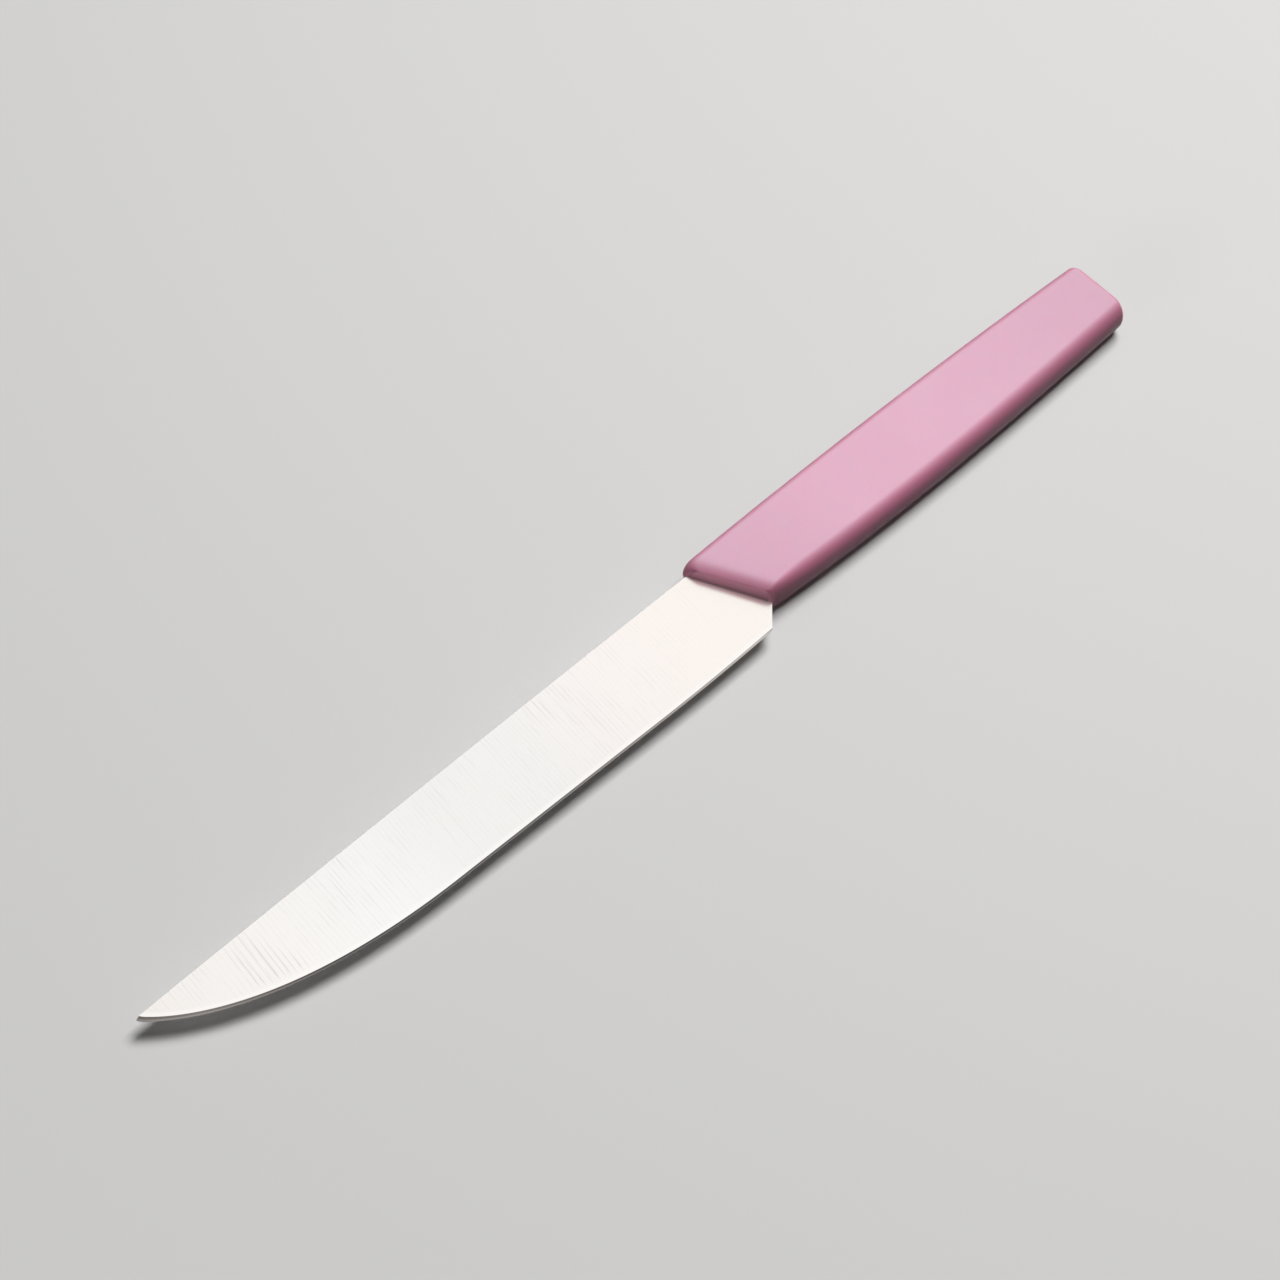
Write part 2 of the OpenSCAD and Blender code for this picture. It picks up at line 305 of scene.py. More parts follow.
class Nodes:
    """Short hand for making and joining the nodes of one tree."""

    def __init__(self, tree: bpy.types.NodeTree) -> None:
        """Keeps the tree that the nodes go into."""
        self.tree = tree

    def value(self, kind: str, output: Union[int, str], **inputs: Input) -> Value:
        """Adds a node.

        Args:
            kind: what comes after ShaderNode in its type.
            output: name or number of the output that is wanted.
            inputs: what fill takes.

        Returns:
            That output.
        """
        made = self.tree.nodes.new("ShaderNode" + kind)
        self.fill(made, **inputs)
        return Value(self, made.outputs[output])

    def fill(self, made: bpy.types.Node, **inputs: Input) -> None:
        """Sets properties of a node and fills its inputs.

        Args:
            made: the node.
            inputs: values of properties, and then outputs, numbers or colours for the
                inputs, by name with _ for a space, or by i and a number.
        """
        for key, value in inputs.items():
            if hasattr(made, key):
                setattr(made, key, value)
                continue
            socket = made.inputs[int(key[1:]) if key[1:].isdigit() else key.replace("_", " ")]
            if isinstance(value, Value):
                self.tree.links.new(value.socket, socket)
            else:
                socket.default_value = (*value, 1.0) if socket.type == "RGBA" else value

    def maths(self, operation: str, *values: Input) -> Value:
        """One Math node over numbers or outputs."""
        inputs = {f"i{index}": value for index, value in enumerate(values)}
        return self.value("Math", 0, operation=operation, **inputs)

    def spread(self, value: Input, low: float, high: float, to_low: float = 0.0,
               to_high: float = 1.0, smooth: bool = True) -> Value:
        """Maps the range from low to high onto another, smoothly or evenly."""
        return self.value(
            "MapRange", "Result", interpolation_type="SMOOTHSTEP" if smooth else "LINEAR",
            Value=value, From_Min=low, From_Max=high, To_Min=to_low, To_Max=to_high)

    def ramp(self, place: Value, stops: Stops) -> Value:
        """Colours or greys that change evenly from stop to stop.

        Args:
            place: the place in millimetres.
            stops: rows of a place and the colour or grey there, from place 0 on.

        Returns:
            The colour at the place.
        """
        length = stops[-1][0]
        made = self.value("ValToRGB", 0, Fac=place / length)
        marks = made.socket.node.color_ramp.elements
        while len(marks) < len(stops):
            marks.new(0.5)
        for mark, (at, tone) in zip(marks, stops):
            mark.position = at / length
            mark.color = (*(tone if isinstance(tone, tuple) else (tone,) * 3), 1.0)
        return made

    def mix(self, share: Input, first: Input, second: Input, blend: str = "MIX") -> Value:
        """Blends a second colour into a first one by a share."""
        return self.value(
            "Mix", 2, data_type="RGBA", blend_type=blend, i0=share, i6=first, i7=second)

    def noise(self, vector: Value, scale: Input, detail: float,
              roughness: float = 0.5) -> Value:
        """Plain fractal noise around 0.5."""
        return self.value("TexNoise", "Fac", Vector=vector, Scale=scale, Detail=detail,
                          Roughness=roughness)

    def streaks(self, vector: Value, scale: Point, detail: float = 2.0,
                roughness: float = 0.5, shift: float = 0.0) -> Value:
        """Noise with a scale for each axis, shifted by the same on all."""
        place = self.value("Mapping", 0, Vector=vector, Scale=scale, Location=(shift,) * 3)
        return self.noise(place, 1.0, detail, roughness)

    def carried(self, key: str) -> Value:
        """A value that the mesh carries."""
        return self.value("Attribute", "Fac", attribute_name=key)


def new_material(name: str) -> Tuple[bpy.types.Material, Nodes, bpy.types.Node]:
    """An empty material with a Principled shader.

    Args:
        name: name of the material.

    Returns:
        The material, its nodes and its Principled node.
    """
    made = bpy.data.materials.new(name)
    made.use_nodes = True
    shader = made.node_tree.nodes["Principled BSDF"]
    return made, Nodes(made.node_tree), shader


class MouldedGrain:
    """Node group: the faint unevenness and fine grain of a moulded plastic surface."""

    name = "moulded_grain"
    inputs = ("Fine", "Broad")
    outputs = ("Tone", "Height")
    fine_detail, broad_detail = 2.0, 3.0
    fine_roughness = 0.6
    fine_share = 0.2

    @classmethod
    def tree(cls) -> bpy.types.NodeTree:
        """The group, built once.

        Returns:
            A tree with the inputs Fine and Broad in grains per metre, and the outputs
            Tone, a slow drift around 0.5, and Height, the grain itself.
        """
        if cls.name in bpy.data.node_groups:
            return bpy.data.node_groups[cls.name]
        tree = bpy.data.node_groups.new(cls.name, "ShaderNodeTree")
        for way, labels in (("INPUT", cls.inputs), ("OUTPUT", cls.outputs)):
            for label in labels:
                tree.interface.new_socket(label, in_out=way, socket_type="NodeSocketFloat")
        nodes = Nodes(tree)
        source = tree.nodes.new("NodeGroupInput")
        sink = tree.nodes.new("NodeGroupOutput")
        where = nodes.value("TexCoord", "Object")
        fine_scale, broad_scale = (Value(nodes, source.outputs[key]) for key in cls.inputs)
        fine = nodes.noise(where, fine_scale, cls.fine_detail, cls.fine_roughness)
        broad = nodes.noise(where, broad_scale, cls.broad_detail)
        nodes.fill(sink, Tone=broad * (1 - cls.fine_share) + fine * cls.fine_share, Height=fine)
        return tree

    @classmethod
    def use(cls, nodes: Nodes, fine: float, broad: float) -> Tuple[Value, ...]:
        """Places the group in a material.

        Args:
            nodes: the material's nodes.
            fine: fine grains per metre.
            broad: broad patches per metre.

        Returns:
            The tone and the height.
        """
        made = nodes.tree.nodes.new("ShaderNodeGroup")
        nodes.fill(made, node_tree=cls.tree(), Fine=fine, Broad=broad)
        return tuple(Value(nodes, made.outputs[key]) for key in cls.outputs)


# Finishes, with painted light and shade

@dataclass(frozen=True)
class MouldedPlastic:
    """Pink plastic, matt on the flats and smoother where it turns away.

    Painted shade makes it paler on the flats and darker and more saturated where it turns
    away. The mesh carries shade, a factor for the colour that paints light and shade.
    """

    name: str
    colour: Colour
    # colour of painted shade, where the surface turns away from the upright
    deeper: Colour
    roughness: float = 0.52
    smoother: float = 0.42
    least_tilt: float = 0.2
    most_tilt: float = 0.9
    tones: Range = (0.3, 0.7)
    drift: float = 0.03
    fine_grain: float = 5200.0
    broad_grain: float = 55.0
    grain_height: float = 0.02
    grain_strength: float = 0.2
    bending: float = 1.46
    gloss: float = 0.25
    glow_weight: float = 0.5
    glow_depth: float = 0.5
    glow_radius: Colour = (1.0, 0.35, 0.5)

    def make(self) -> bpy.types.Material:
        """Builds the material.

        The tilt is the sine of the angle between the normal and the upright, and the share
        turned away grows evenly from 0 at the least tilt to 1 at the most. With it painted
        shade takes the colour from colour to the darker, more saturated one, and the shade
        that the mesh carries, painted light and shade, multiplies it, while the roughness
        goes from matt to smoother. The slow tone of the grain makes both drift a little,
        and the fine grain is the height of a bump.

        Returns:
            The material.
        """
        made, nodes, shader = new_material(self.name)
        tone, height = MouldedGrain.use(nodes, self.fine_grain, self.broad_grain)
        tone = nodes.spread(tone, *self.tones, -self.drift, self.drift)
        upright = nodes.value("SeparateXYZ", 2, Vector=nodes.value("TexCoord", "Normal"))
        tilt = nodes.maths("SQRT", nodes.maths("MAXIMUM", 0.0, 1.0 - upright * upright))
        turned = nodes.spread(tilt, self.least_tilt, self.most_tilt, smooth=False)
        # painted shade: the colour darkens and deepens as the surface turns away from the
        # upright
        colour = nodes.mix(turned + tone + self.drift, self.colour, self.deeper)
        nodes.fill(
            # the shade that the mesh carries is painted light and shade
            shader, Base_Color=nodes.mix(1.0, colour, nodes.carried("shade"), "MULTIPLY"),
            Roughness=tone + nodes.spread(turned, 0.0, 1.0, self.roughness, self.smoother),
            Normal=nodes.value("Bump", 0, Strength=self.grain_strength,
                               Distance=self.grain_height * MM, Height=height),
            IOR=self.bending, Specular_IOR_Level=self.gloss,
            Subsurface_Weight=self.glow_weight, Subsurface_Radius=self.glow_radius,
            Subsurface_Scale=self.glow_depth * MM)
        return made


@dataclass(frozen=True)
class Scratches:
    """A layer of irregular lines: noise that is short across the grinding, long along it.

    Pitch is the usual distance between two lines and run their usual length. A line
    starts to show at the noise value low and is full at high. The seed is a shift that
    sets the layer apart from the others.
    """

    pitch: float
    run: float
    seed: float
    low: float
    high: float
    roughness: float = 0.6

    def mask(self, nodes: Nodes, where: Value) -> Value:
        """The layer as a mask, 1 in the middle of a line and 0 between the lines."""
        noise = nodes.streaks(where, (1 / self.pitch, 1 / self.run, 1.0),
                              roughness=self.roughness, shift=self.seed)
        return nodes.spread(noise, self.low, self.high)


@dataclass(frozen=True)
class GroundSteel:
    """Steel ground across the blade, with a whetted bevel darkened by painted reflection.

    The mesh carries grind_u and grind_v, the place across and along the grinding,
    grind_turns, the marks of the wheel from the tip to there, from_spine, from_bevel and
    from_handle, the distances to them, and the masks bevel and hone. Stops go by grind_u.
    A range is where a smooth change starts and ends, and what it goes from and to.
    """

    name: str = "ground_steel"
    # painted reflection: the steel's tint and brightness along the blade
    painted_casts: Stops = (
        (0.0, (0.88, 0.84, 0.81)), (10.0, (0.92, 0.89, 0.87)), (30.0, (0.94, 0.92, 0.90)),
        (50.0, (0.94, 0.93, 0.93)), (66.0, (0.90, 0.89, 0.88)), (88.0, (0.90, 0.89, 0.88)),
        (110.0, (0.96, 0.91, 0.89)), (150.0, (0.98, 0.92, 0.87)))
    # painted reflection: the colour of the bevel along the blade
    painted_bevel_tones: Stops = (
        (0.0, (0.15, 0.13, 0.12)), (10.0, (0.21, 0.19, 0.18)), (18.0, (0.17, 0.15, 0.14)),
        (35.0, (0.07, 0.06, 0.06)), (56.0, (0.08, 0.07, 0.07)), (84.0, (0.14, 0.13, 0.13)),
        (112.0, (0.30, 0.28, 0.26)), (136.0, (0.49, 0.47, 0.44)))
    # painted light: lighter towards the edge where above 1/2, towards the spine where below
    lights: Stops = (
        (0.0, 0.5), (22.0, 0.55), (32.0, 0.775), (56.0, 0.875), (75.0, 0.5), (95.0, 0.2),
        (115.0, 0.25), (130.0, 0.5))
    strengths: Stops = (
        (0.0, 1.1), (16.0, 0.9), (30.0, 0.4), (38.0, 0.9), (50.0, 0.8), (58.0, 0.5),
        (80.0, 0.5), (98.0, 0.9), (118.0, 0.35), (140.0, 0.15))
    painted_lights_depth: float = 0.06
    broken: Scratches = Scratches(0.8, 9.0, 3.1, 0.36, 0.66)
    uneven: Scratches = Scratches(1.3, 11.0, 5.3, 0.26, 0.56)
    fine: Scratches = Scratches(0.35, 14.0, 7.7, 0.4, 0.75)
    deep: Scratches = Scratches(0.5, 7.0, 12.9, 0.58, 0.72)
    face_shares: Range = (0.26, 0.06, 0.10)
    zone_shares: Range = (0.37, 0.20)
    zone_front: Range = (19.0, 22.0)
    zone_back: Range = (26.5, 22.5)
    zone_slant: float = 0.5
    zone_spine: Range = (0.5, 5.0, 0.35, 1.0)
    zone_bevel: Range = (0.8, 3.0)
    sway_scale: Point = (0.25, 0.015, 1.0)
    sway: float = 1.3
    sharpness: float = 5.0
    patch_scale: Point = (0.12, 0.09, 1.0)
    patches: Range = (0.4, 0.6, 0.45, 1.2)
    spine_strength: float = 1.3
    edge_loss: float = 0.7
    clean: Range = (0.3, 1.3)
    # painted highlights: a thin line at the spine and a band beside the bevel
    spine_highlight: Range = (0.28, 0.1)
    bevel_side_highlight: float = 0.6
    scored: Colour = (0.55, 0.53, 0.51)
    # colour of the painted highlights on the face and the hone
    painted_highlight: Colour = (0.985, 0.970, 0.950)
    # share of painted highlight that lightens the hone
    hone_share: float = 0.12
    # painted contact shadow: the steel darkens next to the handle
    painted_contact_shadow: Colour = (0.22, 0.28, 0.27)
    painted_contact_shadow_w: float = 0.7
    painted_contact_shadow_share: float = 0.6
    joint_rise_w: float = 1.6
    joint_rise: float = 0.04
    roughness: float = 0.2
    marks_roughness: float = 0.2
    groove_depth: float = 0.01
    groove_strength: float = 0.05

    def _marks(self, nodes: Nodes) -> Value:
        """How far the marks of the grinding darken the face.

        The wheel leaves one thin line a turn, (1/2 + sin(2 pi turns) / 2)^sharpness, and
        slow noise sways the turns. Scratches break the lines and lie between them. Their
        strength changes along the blade and falls towards the edge, they come in slow
        patches, and a slanted zone near the tip has the strongest.

        Args:
            nodes: the material's nodes.

        Returns:
            A mask, 0 where there are none.
        """
        across, along, from_spine, from_bevel = map(
            nodes.carried, ("grind_u", "grind_v", "from_spine", "from_bevel"))
        where = nodes.value("CombineXYZ", 0, X=across, Y=along)
        turns = nodes.carried("grind_turns") + nodes.streaks(where, self.sway_scale) * self.sway
        lines = (nodes.maths("SINE", turns * (2 * np.pi)) * 0.5 + 0.5) ** self.sharpness
        broken, uneven, fine, deep = (
            layer.mask(nodes, where)
            for layer in (self.broken, self.uneven, self.fine, self.deep))
        down = from_spine / (from_spine + from_bevel)
        strength = (nodes.ramp(across, self.strengths)
                    * nodes.spread(nodes.streaks(where, self.patch_scale), *self.patches)
                    * (down * -self.edge_loss + self.spine_strength))
        zone = (nodes.spread(across, *self.zone_front)
                * nodes.spread(across - from_spine * self.zone_slant, *self.zone_back)
                * nodes.spread(from_spine, *self.zone_spine)
                * nodes.spread(from_bevel, *self.zone_bevel))
        line_share, fine_share, deep_share = self.face_shares
        zone_line_share, zone_deep_share = self.zone_shares
        return (
            strength * (lines * broken * line_share + fine * fine_share + deep * deep_share)
            + zone * (lines * uneven * zone_line_share + deep * zone_deep_share))

    def make(self) -> bpy.types.Material:
        """Builds the material.

        The tint and brightness along the blade are painted reflection. The marks of the
        grinding fade out close to the bevel, where a painted highlight brightens the face,
        as it does in a thin line at the spine. Painted light makes it slightly lighter
        towards the edge where its ramp is above 1/2, and towards the spine where it is
        below. The bevel is darkened by painted reflection along the blade, and a painted
        highlight makes the hone lighter than the bevel by its share of the highlight's
        colour. A painted contact shadow darkens the steel next to the handle, and the
        steel rises to the handle by joint_rise (1 - distance / joint_rise_w)^2.

        Returns:
            The material.
        """
        made, nodes, shader = new_material(self.name)
        across, from_spine, from_bevel, from_handle = map(
            nodes.carried, ("grind_u", "from_spine", "from_bevel", "from_handle"))
        clean = nodes.spread(from_bevel, *self.clean)
        marks = self._marks(nodes) * clean
        down = from_spine / (from_spine + from_bevel)
        # painted light across the blade
        level = (nodes.ramp(across, self.lights) - 0.5) * (down - 0.5) * self.painted_lights_depth
        # painted reflection and painted light multiply the colour of the steel
        colour = nodes.mix(1.0, nodes.ramp(across, self.painted_casts), level + 1.0, "MULTIPLY")
        colour = nodes.mix(marks, colour, self.scored)
        # painted highlight at the spine and beside the bevel
        rim = nodes.maths("MAXIMUM", nodes.spread(from_spine, *self.spine_highlight),
                          (1.0 - clean) * self.bevel_side_highlight)
        colour = nodes.mix(rim, colour, self.painted_highlight)
        # painted contact shadow next to the handle
        painted_contact_shadow = nodes.spread(from_handle, self.painted_contact_shadow_w, 0.0) * self.painted_contact_shadow_share
        colour = nodes.mix(painted_contact_shadow, colour, self.painted_contact_shadow)
        # painted highlight: the hone is lighter than the bevel
        bevel = nodes.mix(nodes.carried("hone") * self.hone_share,
                          nodes.ramp(across, self.painted_bevel_tones), self.painted_highlight)
        rise = nodes.spread(from_handle, self.joint_rise_w, 0.0, smooth=False) ** 2.0
        raised = nodes.value("Bump", 0, Distance=self.joint_rise * MM, Height=rise)
        nodes.fill(
            shader, Base_Color=nodes.mix(nodes.carried("bevel"), colour, bevel),
            Roughness=marks * self.marks_roughness + self.roughness, Metallic=1.0,
            Normal=nodes.value("Bump", 0, Strength=self.groove_strength, Normal=raised,
                               Distance=self.groove_depth * MM, Height=1.0 - marks))
        return made


# The blade

@dataclass
class Blade:
    """Ground blade with its bevel and hone, the cut at the heel, its root and the tang."""

    layout: Layout
    finish: GroundSteel = field(default_factory=GroundSteel)
    blade_w: float = 19.8
    belly_l: float = 63.0
    edge_fall: float = 1.5
    heel_rise: float = 0.75
    heel_run: float = 28.0
    spine_bow: float = 0.27
    tip_fall: float = 0.2
    tip_fall_power: int = 6
    tip_drop: float = 0.45
    tip_l: float = 1.2
    tip_w: float = 1.95
    belly_shares: Tuple[Range, Range] = ((0.163, 0.5), (0.45, 0.975))
    tip_pull_share: float = 0.82
    heel_angle: float = 48.0
    heel_exit_w: float = 15.3
    heel_round: float = 0.35
    heel_ease: float = 0.13
    heel_ease_share: float = 0.4
    heel_zone: float = 1.5
    least_section: float = 0.8
    spine_t: float = 1.5
    spine_tip_t: float = 0.7
    spine_ease: float = 0.2
    edge_t: float = 0.3
    edge_tip_t: float = 0.55
    bevel_w: float = 0.45
    bevel_tip_w: float = 0.95
    tip_bevel_power: int = 3
    hone_share: float = 0.45
    hone_angle: float = 22.0
    bevel_limit_share: float = 0.7
    ease_limit_share: float = 0.15
    bevel_band_w: float = 1.3
    crease: float = 0.02
    root_l: float = 4.0
    tang_l: float = 66.0
    tang_lap: float = 1.0
    tang_root_w: float = 9.0
    tang_end_w: float = 7.0
    tang_end_share: float = 0.7
    tang_corner: float = 1.5
    slants: Stops = (
        (8.0, 0.0), (17.0, 4.2), (28.0, 4.2), (36.0, 0.5), (60.0, 2.5), (100.0, 1.0))
    pitches: Stops = (
        (15.0, 0.91), (18.0, 1.17), (28.0, 1.17), (31.0, 0.93), (54.0, 0.93), (73.0, 0.85))
    turns_margins: Range = (10.0, 100.0)
    turns_steps: int = 3000
    lower_shift: float = 40.0
    tip_start: float = 0.02
    tip_steps: int = 28
    belly_steps: int = 160
    straight_steps: Tuple[int, ...] = (24, 50, 61, 39)
    face_columns: int = 16
    ease_steps: int = 4

    def __post_init__(self) -> None:
        """Works out the places that follow from the sizes."""
        self.belly_w = self.blade_w + self.heel_rise - self.edge_fall
        self.heel_slope = tangent(self.heel_angle)
        self.heel_x = (self.layout.front_x(self.heel_exit_w)
                       - (self.blade_w - self.heel_exit_w) / self.heel_slope)
        self.root_edge_x = self.layout.front_x(self.blade_w) + self.root_l
        self.root_spine_x = self.layout.blade_l + self.root_l

    def spine_depth(self, x: Array) -> Array:
        """Depth of the spine: a parabola towards the handle, a sixth power to the tip."""
        share = 2 * x / self.layout.blade_l - 1
        return np.where(share < 0, self.tip_fall * np.abs(share) ** self.tip_fall_power,
                        self.spine_bow * share**2)

    def edge_depth(self, x: Array) -> Array:
        """Depth of the straight edge: a line, less a parabola that rises at the heel."""
        line = lerp(self.belly_w, self.blade_w + self.heel_rise,
                    (x - self.belly_l) / (self.heel_x - self.belly_l))
        return line - self.heel_rise * np.maximum(0, 1 + (x - self.heel_x) / self.heel_run) ** 2

    def edge_line(self) -> Array:
        """The edge from the tip point to the root, as rows of x and depth.

        Returns:
            A Bezier round the tip, a Bezier along the belly, then the straight edge.
        """
        end = (self.belly_l, self.belly_w)
        belly = np.array([(self.tip_l, self.tip_w), *np.array(self.belly_shares) * end, end])
        slope = (belly[1] - belly[0]) / (belly[1, 0] - self.tip_l)
        tip = np.array([(0, self.tip_drop),
                        belly[0] - slope * self.tip_l * self.tip_pull_share, belly[0]])
        places = (self.belly_l, self.heel_x - self.heel_run, self.heel_x - self.heel_zone,
                  self.heel_x + self.heel_zone, self.root_edge_x)
        straight = np.hstack([
            np.linspace(low, high, steps, endpoint=False)
            for low, high, steps in zip(places, places[1:], self.straight_steps)
        ] + [self.root_edge_x])
        return np.vstack([
            bezier(tip, np.linspace(self.tip_start, 1, self.tip_steps)),
            bezier(belly, np.linspace(0, 1, self.belly_steps + 1)[1:-1]),
            np.stack([straight, self.edge_depth(straight)], -1),
        ])

    def _sections(self, edge: Array) -> Tuple[Array, Array, dict]:
        """Sections of the blade from spine to edge, one for each place on the edge.

        With s the distance from the spine, half the thickness is a quarter round of the
        eased corner, then a line from the spine's to the face's thickness at the
        shoulder, a line over the bevel and a line over the hone to nothing. Past the
        line of the heel cut the section stops, with a small chamfer.

        Args:
            edge: rows of x and depth.

        Returns:
            Points in x and depth, half thicknesses, and the carried values by name.
        """
        share = edge[:, :1] / self.root_edge_x
        spine_x = lerp(self.tip_l, self.root_spine_x, share)
        spine = np.hstack([spine_x, self.spine_depth(spine_x)])
        reach = np.linalg.norm(edge - spine, axis=1, keepdims=True)
        towards = (edge - spine) / reach
        tipness = np.clip(1 - edge[:, :1] / self.belly_l, 0, 1)
        full_bevel = lerp(self.bevel_w, self.bevel_tip_w, tipness**self.tip_bevel_power)
        bevel = np.minimum(full_bevel, reach * self.bevel_limit_share)
        hone = bevel * self.hone_share
        ease = np.minimum(self.spine_ease, reach * self.ease_limit_share)
        back_z = lerp(self.spine_tip_t, self.spine_t, share) / 2
        face_z = lerp(self.edge_t, self.edge_tip_t, tipness) / 2
        hone_z = hone * tangent(self.hone_angle)
        shoulder, turn = reach - bevel, reach - hone

        # the heel cut: distance along each section to the slanted line, rounded over
        over = (self.blade_w - spine[:, 1:]) - (spine[:, :1] - self.heel_x) * self.heel_slope
        rate = towards[:, 1:] + towards[:, :1] * self.heel_slope
        behind = edge[:, :1] > self.belly_l
        line = np.where(behind, over / np.where(behind, rate, 1.0), self.layout.knife_l)
        cut = soft_min(reach, np.maximum(line, self.least_section), self.heel_round)
        cut = np.where(np.isclose(cut, reach, rtol=0, atol=1e-4), reach, cut)
        trimmed = cut < reach

        # the columns, close together at each crease
        limit = np.minimum(shoulder, cut)
        band = np.minimum(self.bevel_band_w, (limit - ease) / 2)
        small = np.minimum(self.crease, band / 8)
        away = np.where(trimmed, np.minimum(self.heel_ease, self.heel_ease_share * face_z), 0)
        s = np.hstack([
            ease * eased_places(1.0, self.ease_steps),
            lerp(ease + small, limit - band, np.linspace(0, 1, self.face_columns)),
            limit - band / 2, limit - band / 4, limit - 2 * small, limit - small,
            shoulder, shoulder + small, turn - small, turn, turn + small, reach,
            cut - away - small, cut - away])
        s = np.sort(np.minimum(s, cut), axis=1)

        on_face = lerp(back_z, face_z, (s - ease) / (shoulder - ease))
        on_bevel = lerp(face_z, hone_z, (s - shoulder) / (turn - shoulder))
        on_hone = hone_z * (reach - s) / hone
        z = np.where(s < shoulder, on_face, np.where(s < turn, on_bevel, on_hone))
        z = z - drawn_in(1.0, 1.0, np.minimum(s / ease, 1)) * ease
        z = z - np.where(trimmed, np.clip(s - (cut - away), 0, None), 0)
        z = np.maximum(z, 0)
        at = spine[:, None, :] + towards[:, None, :] * s[..., None]
        carried = {
            "bevel": np.clip((s - shoulder) / small + 0.5, 0, 1),
            "hone": np.clip((s - turn) / small + 0.5, 0, 1),
            "from_spine": np.minimum(s, np.where(trimmed, cut - s, s)),
            "from_bevel": shoulder - s,
        }
        return at, z, carried

    def _tang(self, columns: int) -> Tuple[Array, Array]:
        """The tang as further sections behind the root, of one thickness.

        Args:
            columns: points from its upper to its lower side.

        Returns:
            Points in x and depth, and half thicknesses.
        """
        lines = Handle(self.layout)
        root_d, end_d = (float(lines.back_d(share) + lines.belly_d(share)) / 2
                         for share in (0.0, self.tang_end_share))
        start = self.layout.front_x(root_d) + self.root_l
        end = start + self.tang_l
        x, depth, width, lean = np.array([
            (start - self.tang_lap, root_d, self.tang_root_w, self.layout.lean),
            (end - self.tang_corner, end_d, self.tang_end_w, 0.0),
            (end, end_d, self.tang_end_w - 2 * self.tang_corner, 0.0)]).T[..., None]
        side = np.linspace(-0.5, 0.5, columns) * width
        at = np.stack([x + side * lean, depth + side], -1)
        return at, np.full(at.shape[:2], self.spine_t / 2)

    def slant(self, x: Array) -> Array:
        """Run of the grinding towards the tip for each millimetre of depth."""
        return tangent(np.interp(x, *zip(*self.slants)))

    def turns(self, across: Array) -> Array:
        """Marks of the wheel from the tip to places across the grinding.

        Args:
            across: places in millimetres.

        Returns:
            The sum of 1 / pitch over small steps, read off at the places.
        """
        before, past = self.turns_margins
        steps = np.linspace(-before, self.root_edge_x + past, self.turns_steps)
        pitch = np.interp(steps, *zip(*self.pitches))
        return np.interp(across, steps, np.cumsum(np.gradient(steps) / pitch))

    def build(self) -> bpy.types.Object:
        """Builds and dresses the blade.

        The lower face is ground like the upper one, but its noise is that of a place
        further along the grinding.

        Returns:
            The blade's object.
        """
        at, z, masks = self._sections(self.edge_line())
        tang_at, tang_z = self._tang(at.shape[1])
        height = both_faces(np.vstack([z, tang_z]), -1.0)
        x, depth = np.moveaxis(both_faces(np.vstack([at, tang_at])), -1, 0)
        tang_rows = ((0, len(tang_z)), (0, 0))
        values = {key: both_faces(np.pad(mask, tang_rows)) for key, mask in masks.items()}
        values["grind_u"] = x + depth * self.slant(x)
        values["grind_v"] = depth + self.lower_shift * (height < 0)
        values["grind_turns"] = self.turns(values["grind_u"])
        values["from_handle"] = self.layout.front_x(depth) - x
        rings = Rings(self.layout.place(x, depth, height), values)
        made = rings.mesh("ground_blade", self.finish.make())
        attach(made, BODY)
        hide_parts("blade")
        return made


# The handle

